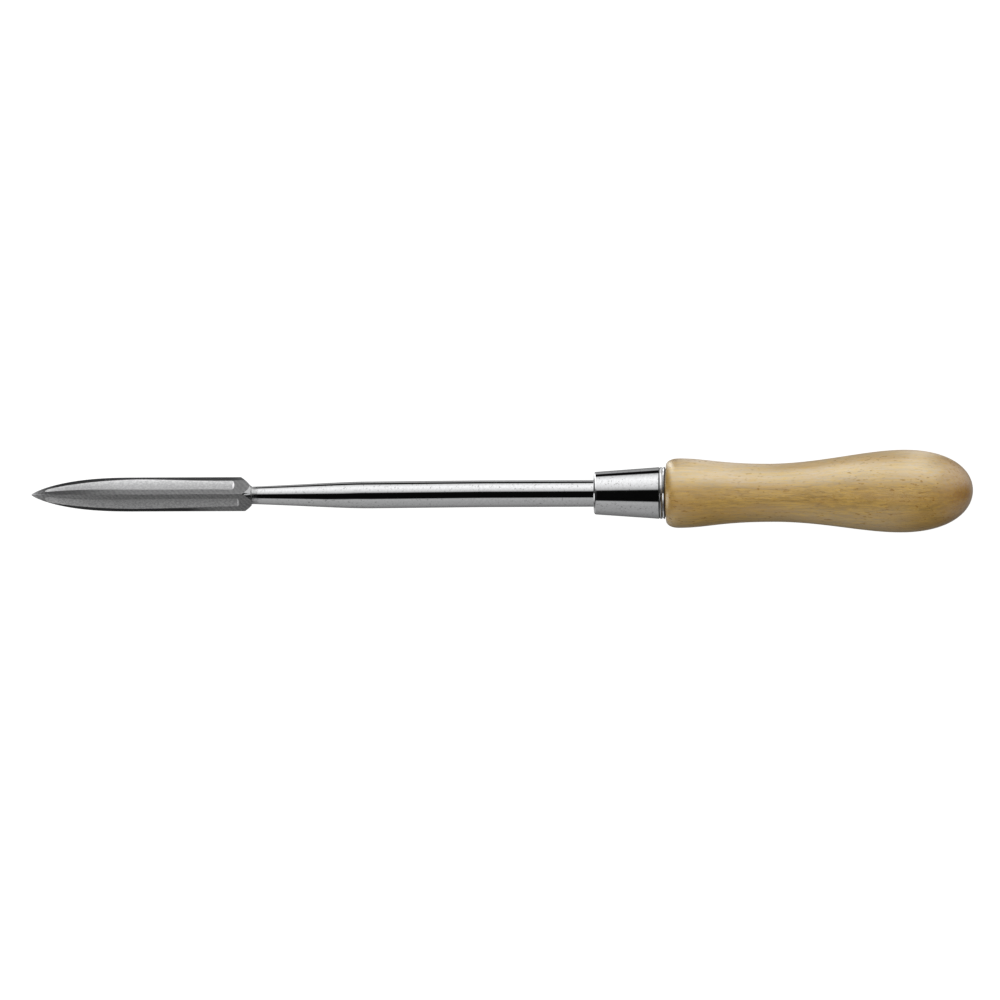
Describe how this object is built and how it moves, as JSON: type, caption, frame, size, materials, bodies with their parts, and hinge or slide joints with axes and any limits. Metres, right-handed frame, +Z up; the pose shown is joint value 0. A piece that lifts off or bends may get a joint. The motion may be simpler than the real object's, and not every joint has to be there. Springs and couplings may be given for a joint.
{
  "type": "triangular scraper",
  "caption": "Hand scraper with a hollow-ground, pointed triangular steel blade on a round plated shank, a conical ferrule and a turned beech handle, for deburring and scraping.",
  "frame": {"origin": "middle of the object's box, on the surface it lies on: the tool rests on two edges of its blade and on the swell of its handle", "axes": "+X along the tool from the blade's tip to the handle's butt, +Z up, with one cutting edge of the blade on top; the tool's own axis lies in the XZ plane and climbs 2.52 degrees towards +X"},
  "size_m": [0.3498, 0.0308, 0.0319],
  "materials": {
    "ground_steel": "blade bare and ground, neck and shank bright plated",
    "bright_plating": "polished",
    "lacquered_beech": "clear satin lacquer"
  },
  "bodies": {
    "root": {"scraper_blade": "ground_steel", "ferrule": "bright_plating", "handle": "lacquered_beech"}
  },
  "joints": []
}
